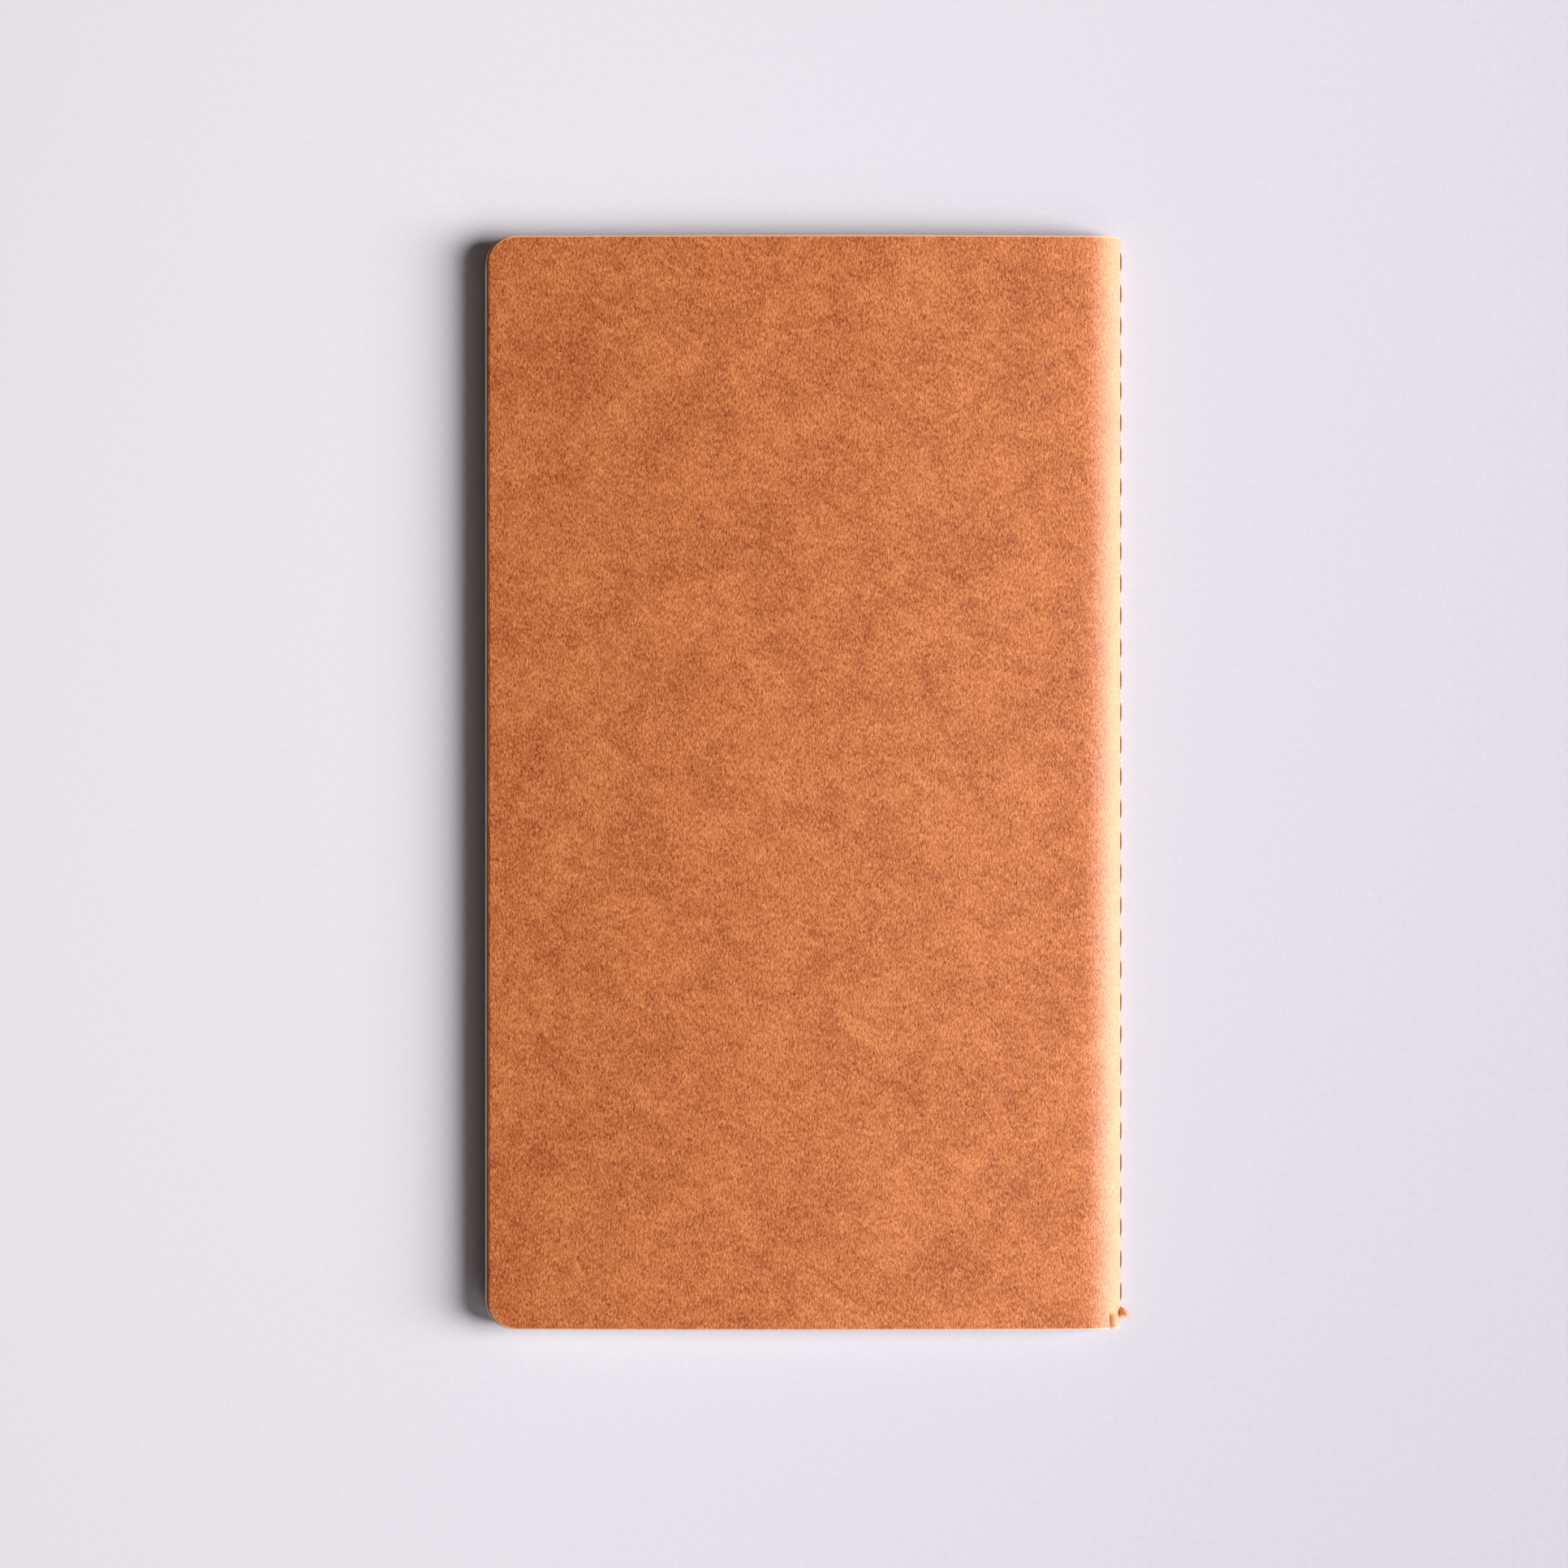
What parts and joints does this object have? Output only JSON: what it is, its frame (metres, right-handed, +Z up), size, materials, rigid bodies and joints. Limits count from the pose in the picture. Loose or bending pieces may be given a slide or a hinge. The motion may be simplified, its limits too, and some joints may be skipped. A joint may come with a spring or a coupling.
{
  "type": "pocket notebook",
  "caption": "Slim closed pocket notebook: folded sheets lock-stitched through the fold into a soft kraft card cover, with rounded fore-edge corners; opens flat.",
  "frame": {"origin": "on the underside of the front cover, in the middle of the closed notebook", "axes": "+X out of the spine, +Y to the head, +Z up through the closed notebook to the back cover"},
  "size_m": [0.0897, 0.1524, 0.0046],
  "materials": {
    "kraft_card": "uncoated orange-brown kraft card, matte, with visible fibres",
    "ivory_paper": "uncoated ivory writing paper, matte",
    "ochre_thread": "twisted spun sewing thread, ochre"
  },
  "bodies": {
    "front_cover": {"front_cover": "kraft_card"},
    "spine": {"cover_spine": "kraft_card", "sheet_folds": "ivory_paper", "outside_thread": "ochre_thread", "inside_thread": "ochre_thread"},
    "back_cover": {"back_cover": "kraft_card"},
    "sheet_01_front_leaf": {"sheet_01_front_leaf": "ivory_paper"},
    "sheet_01_back_leaf": {"sheet_01_back_leaf": "ivory_paper"},
    "sheet_02_front_leaf": {"sheet_02_front_leaf": "ivory_paper"},
    "sheet_02_back_leaf": {"sheet_02_back_leaf": "ivory_paper"},
    "sheet_03_front_leaf": {"sheet_03_front_leaf": "ivory_paper"},
    "sheet_03_back_leaf": {"sheet_03_back_leaf": "ivory_paper"},
    "sheet_04_front_leaf": {"sheet_04_front_leaf": "ivory_paper"},
    "sheet_04_back_leaf": {"sheet_04_back_leaf": "ivory_paper"},
    "sheet_05_front_leaf": {"sheet_05_front_leaf": "ivory_paper"},
    "sheet_05_back_leaf": {"sheet_05_back_leaf": "ivory_paper"},
    "sheet_06_front_leaf": {"sheet_06_front_leaf": "ivory_paper"},
    "sheet_06_back_leaf": {"sheet_06_back_leaf": "ivory_paper"},
    "sheet_07_front_leaf": {"sheet_07_front_leaf": "ivory_paper"},
    "sheet_07_back_leaf": {"sheet_07_back_leaf": "ivory_paper"},
    "sheet_08_front_leaf": {"sheet_08_front_leaf": "ivory_paper"},
    "sheet_08_back_leaf": {"sheet_08_back_leaf": "ivory_paper"},
    "sheet_09_front_leaf": {"sheet_09_front_leaf": "ivory_paper"},
    "sheet_09_back_leaf": {"sheet_09_back_leaf": "ivory_paper"},
    "sheet_10_front_leaf": {"sheet_10_front_leaf": "ivory_paper"},
    "sheet_10_back_leaf": {"sheet_10_back_leaf": "ivory_paper"},
    "sheet_11_front_leaf": {"sheet_11_front_leaf": "ivory_paper"},
    "sheet_11_back_leaf": {"sheet_11_back_leaf": "ivory_paper"},
    "sheet_12_front_leaf": {"sheet_12_front_leaf": "ivory_paper"},
    "sheet_12_back_leaf": {"sheet_12_back_leaf": "ivory_paper"},
    "sheet_13_front_leaf": {"sheet_13_front_leaf": "ivory_paper"},
    "sheet_13_back_leaf": {"sheet_13_back_leaf": "ivory_paper"},
    "sheet_14_front_leaf": {"sheet_14_front_leaf": "ivory_paper"},
    "sheet_14_back_leaf": {"sheet_14_back_leaf": "ivory_paper"},
    "sheet_15_front_leaf": {"sheet_15_front_leaf": "ivory_paper"},
    "sheet_15_back_leaf": {"sheet_15_back_leaf": "ivory_paper"},
    "sheet_16_front_leaf": {"sheet_16_front_leaf": "ivory_paper"},
    "sheet_16_back_leaf": {"sheet_16_back_leaf": "ivory_paper"}
  },
  "joints": [
    {"name": "front_cover_open", "type": "hinge", "parent": "front_cover", "child": "spine", "pos_m": [0.04216, 0, 0.00229], "axis": [0, 1, 0], "range_deg": [0, 90], "deforming": ["cover_spine", "sheet_folds"]},
    {"name": "back_cover_open", "type": "hinge", "parent": "spine", "child": "back_cover", "pos_m": [0.04216, 0, 0.00229], "axis": [0, 1, 0], "range_deg": [0, 90]},
    {"name": "sheet_01_front_leaf_turn", "type": "hinge", "parent": "spine", "child": "sheet_01_front_leaf", "pos_m": [0.04216, 0, 0.00229], "axis": [0, 1, 0], "range_deg": [-89.5, 0]},
    {"name": "sheet_01_back_leaf_turn", "type": "hinge", "parent": "spine", "child": "sheet_01_back_leaf", "pos_m": [0.04216, 0, 0.00229], "axis": [0, 1, 0], "range_deg": [0, 89.5]},
    {"name": "sheet_02_front_leaf_turn", "type": "hinge", "parent": "spine", "child": "sheet_02_front_leaf", "pos_m": [0.04216, 0, 0.00229], "axis": [0, 1, 0], "range_deg": [-89, 0]},
    {"name": "sheet_02_back_leaf_turn", "type": "hinge", "parent": "spine", "child": "sheet_02_back_leaf", "pos_m": [0.04216, 0, 0.00229], "axis": [0, 1, 0], "range_deg": [0, 89]},
    {"name": "sheet_03_front_leaf_turn", "type": "hinge", "parent": "spine", "child": "sheet_03_front_leaf", "pos_m": [0.04216, 0, 0.00229], "axis": [0, 1, 0], "range_deg": [-88.5, 0]},
    {"name": "sheet_03_back_leaf_turn", "type": "hinge", "parent": "spine", "child": "sheet_03_back_leaf", "pos_m": [0.04216, 0, 0.00229], "axis": [0, 1, 0], "range_deg": [0, 88.5]},
    {"name": "sheet_04_front_leaf_turn", "type": "hinge", "parent": "spine", "child": "sheet_04_front_leaf", "pos_m": [0.04216, 0, 0.00229], "axis": [0, 1, 0], "range_deg": [-88, 0]},
    {"name": "sheet_04_back_leaf_turn", "type": "hinge", "parent": "spine", "child": "sheet_04_back_leaf", "pos_m": [0.04216, 0, 0.00229], "axis": [0, 1, 0], "range_deg": [0, 88]},
    {"name": "sheet_05_front_leaf_turn", "type": "hinge", "parent": "spine", "child": "sheet_05_front_leaf", "pos_m": [0.04216, 0, 0.00229], "axis": [0, 1, 0], "range_deg": [-87.5, 0]},
    {"name": "sheet_05_back_leaf_turn", "type": "hinge", "parent": "spine", "child": "sheet_05_back_leaf", "pos_m": [0.04216, 0, 0.00229], "axis": [0, 1, 0], "range_deg": [0, 87.5]},
    {"name": "sheet_06_front_leaf_turn", "type": "hinge", "parent": "spine", "child": "sheet_06_front_leaf", "pos_m": [0.04216, 0, 0.00229], "axis": [0, 1, 0], "range_deg": [-87, 0]},
    {"name": "sheet_06_back_leaf_turn", "type": "hinge", "parent": "spine", "child": "sheet_06_back_leaf", "pos_m": [0.04216, 0, 0.00229], "axis": [0, 1, 0], "range_deg": [0, 87]},
    {"name": "sheet_07_front_leaf_turn", "type": "hinge", "parent": "spine", "child": "sheet_07_front_leaf", "pos_m": [0.04216, 0, 0.00229], "axis": [0, 1, 0], "range_deg": [-86.5, 0]},
    {"name": "sheet_07_back_leaf_turn", "type": "hinge", "parent": "spine", "child": "sheet_07_back_leaf", "pos_m": [0.04216, 0, 0.00229], "axis": [0, 1, 0], "range_deg": [0, 86.5]},
    {"name": "sheet_08_front_leaf_turn", "type": "hinge", "parent": "spine", "child": "sheet_08_front_leaf", "pos_m": [0.04216, 0, 0.00229], "axis": [0, 1, 0], "range_deg": [-86, 0]},
    {"name": "sheet_08_back_leaf_turn", "type": "hinge", "parent": "spine", "child": "sheet_08_back_leaf", "pos_m": [0.04216, 0, 0.00229], "axis": [0, 1, 0], "range_deg": [0, 86]},
    {"name": "sheet_09_front_leaf_turn", "type": "hinge", "parent": "spine", "child": "sheet_09_front_leaf", "pos_m": [0.04216, 0, 0.00229], "axis": [0, 1, 0], "range_deg": [-85.5, 0]},
    {"name": "sheet_09_back_leaf_turn", "type": "hinge", "parent": "spine", "child": "sheet_09_back_leaf", "pos_m": [0.04216, 0, 0.00229], "axis": [0, 1, 0], "range_deg": [0, 85.5]},
    {"name": "sheet_10_front_leaf_turn", "type": "hinge", "parent": "spine", "child": "sheet_10_front_leaf", "pos_m": [0.04216, 0, 0.00229], "axis": [0, 1, 0], "range_deg": [-85, 0]},
    {"name": "sheet_10_back_leaf_turn", "type": "hinge", "parent": "spine", "child": "sheet_10_back_leaf", "pos_m": [0.04216, 0, 0.00229], "axis": [0, 1, 0], "range_deg": [0, 85]},
    {"name": "sheet_11_front_leaf_turn", "type": "hinge", "parent": "spine", "child": "sheet_11_front_leaf", "pos_m": [0.04216, 0, 0.00229], "axis": [0, 1, 0], "range_deg": [-84.5, 0]},
    {"name": "sheet_11_back_leaf_turn", "type": "hinge", "parent": "spine", "child": "sheet_11_back_leaf", "pos_m": [0.04216, 0, 0.00229], "axis": [0, 1, 0], "range_deg": [0, 84.5]},
    {"name": "sheet_12_front_leaf_turn", "type": "hinge", "parent": "spine", "child": "sheet_12_front_leaf", "pos_m": [0.04216, 0, 0.00229], "axis": [0, 1, 0], "range_deg": [-84, 0]},
    {"name": "sheet_12_back_leaf_turn", "type": "hinge", "parent": "spine", "child": "sheet_12_back_leaf", "pos_m": [0.04216, 0, 0.00229], "axis": [0, 1, 0], "range_deg": [0, 84]},
    {"name": "sheet_13_front_leaf_turn", "type": "hinge", "parent": "spine", "child": "sheet_13_front_leaf", "pos_m": [0.04216, 0, 0.00229], "axis": [0, 1, 0], "range_deg": [-83.5, 0]},
    {"name": "sheet_13_back_leaf_turn", "type": "hinge", "parent": "spine", "child": "sheet_13_back_leaf", "pos_m": [0.04216, 0, 0.00229], "axis": [0, 1, 0], "range_deg": [0, 83.5]},
    {"name": "sheet_14_front_leaf_turn", "type": "hinge", "parent": "spine", "child": "sheet_14_front_leaf", "pos_m": [0.04216, 0, 0.00229], "axis": [0, 1, 0], "range_deg": [-83, 0]},
    {"name": "sheet_14_back_leaf_turn", "type": "hinge", "parent": "spine", "child": "sheet_14_back_leaf", "pos_m": [0.04216, 0, 0.00229], "axis": [0, 1, 0], "range_deg": [0, 83]},
    {"name": "sheet_15_front_leaf_turn", "type": "hinge", "parent": "spine", "child": "sheet_15_front_leaf", "pos_m": [0.04216, 0, 0.00229], "axis": [0, 1, 0], "range_deg": [-82.5, 0]},
    {"name": "sheet_15_back_leaf_turn", "type": "hinge", "parent": "spine", "child": "sheet_15_back_leaf", "pos_m": [0.04216, 0, 0.00229], "axis": [0, 1, 0], "range_deg": [0, 82.5]},
    {"name": "sheet_16_front_leaf_turn", "type": "hinge", "parent": "spine", "child": "sheet_16_front_leaf", "pos_m": [0.04216, 0, 0.00229], "axis": [0, 1, 0], "range_deg": [-82, 0]},
    {"name": "sheet_16_back_leaf_turn", "type": "hinge", "parent": "spine", "child": "sheet_16_back_leaf", "pos_m": [0.04216, 0, 0.00229], "axis": [0, 1, 0], "range_deg": [0, 82]}
  ],
  "couplings": [
    {"joint": "sheet_01_front_leaf_turn", "follows": "front_cover_open", "ratio": -0.99444},
    {"joint": "sheet_01_back_leaf_turn", "follows": "back_cover_open", "ratio": 0.99444},
    {"joint": "sheet_02_front_leaf_turn", "follows": "front_cover_open", "ratio": -0.98889},
    {"joint": "sheet_02_back_leaf_turn", "follows": "back_cover_open", "ratio": 0.98889},
    {"joint": "sheet_03_front_leaf_turn", "follows": "front_cover_open", "ratio": -0.98333},
    {"joint": "sheet_03_back_leaf_turn", "follows": "back_cover_open", "ratio": 0.98333},
    {"joint": "sheet_04_front_leaf_turn", "follows": "front_cover_open", "ratio": -0.97778},
    {"joint": "sheet_04_back_leaf_turn", "follows": "back_cover_open", "ratio": 0.97778},
    {"joint": "sheet_05_front_leaf_turn", "follows": "front_cover_open", "ratio": -0.97222},
    {"joint": "sheet_05_back_leaf_turn", "follows": "back_cover_open", "ratio": 0.97222},
    {"joint": "sheet_06_front_leaf_turn", "follows": "front_cover_open", "ratio": -0.96667},
    {"joint": "sheet_06_back_leaf_turn", "follows": "back_cover_open", "ratio": 0.96667},
    {"joint": "sheet_07_front_leaf_turn", "follows": "front_cover_open", "ratio": -0.96111},
    {"joint": "sheet_07_back_leaf_turn", "follows": "back_cover_open", "ratio": 0.96111},
    {"joint": "sheet_08_front_leaf_turn", "follows": "front_cover_open", "ratio": -0.95556},
    {"joint": "sheet_08_back_leaf_turn", "follows": "back_cover_open", "ratio": 0.95556},
    {"joint": "sheet_09_front_leaf_turn", "follows": "front_cover_open", "ratio": -0.95},
    {"joint": "sheet_09_back_leaf_turn", "follows": "back_cover_open", "ratio": 0.95},
    {"joint": "sheet_10_front_leaf_turn", "follows": "front_cover_open", "ratio": -0.94444},
    {"joint": "sheet_10_back_leaf_turn", "follows": "back_cover_open", "ratio": 0.94444},
    {"joint": "sheet_11_front_leaf_turn", "follows": "front_cover_open", "ratio": -0.93889},
    {"joint": "sheet_11_back_leaf_turn", "follows": "back_cover_open", "ratio": 0.93889},
    {"joint": "sheet_12_front_leaf_turn", "follows": "front_cover_open", "ratio": -0.93333},
    {"joint": "sheet_12_back_leaf_turn", "follows": "back_cover_open", "ratio": 0.93333},
    {"joint": "sheet_13_front_leaf_turn", "follows": "front_cover_open", "ratio": -0.92778},
    {"joint": "sheet_13_back_leaf_turn", "follows": "back_cover_open", "ratio": 0.92778},
    {"joint": "sheet_14_front_leaf_turn", "follows": "front_cover_open", "ratio": -0.92222},
    {"joint": "sheet_14_back_leaf_turn", "follows": "back_cover_open", "ratio": 0.92222},
    {"joint": "sheet_15_front_leaf_turn", "follows": "front_cover_open", "ratio": -0.91667},
    {"joint": "sheet_15_back_leaf_turn", "follows": "back_cover_open", "ratio": 0.91667},
    {"joint": "sheet_16_front_leaf_turn", "follows": "front_cover_open", "ratio": -0.91111},
    {"joint": "sheet_16_back_leaf_turn", "follows": "back_cover_open", "ratio": 0.91111}
  ]
}
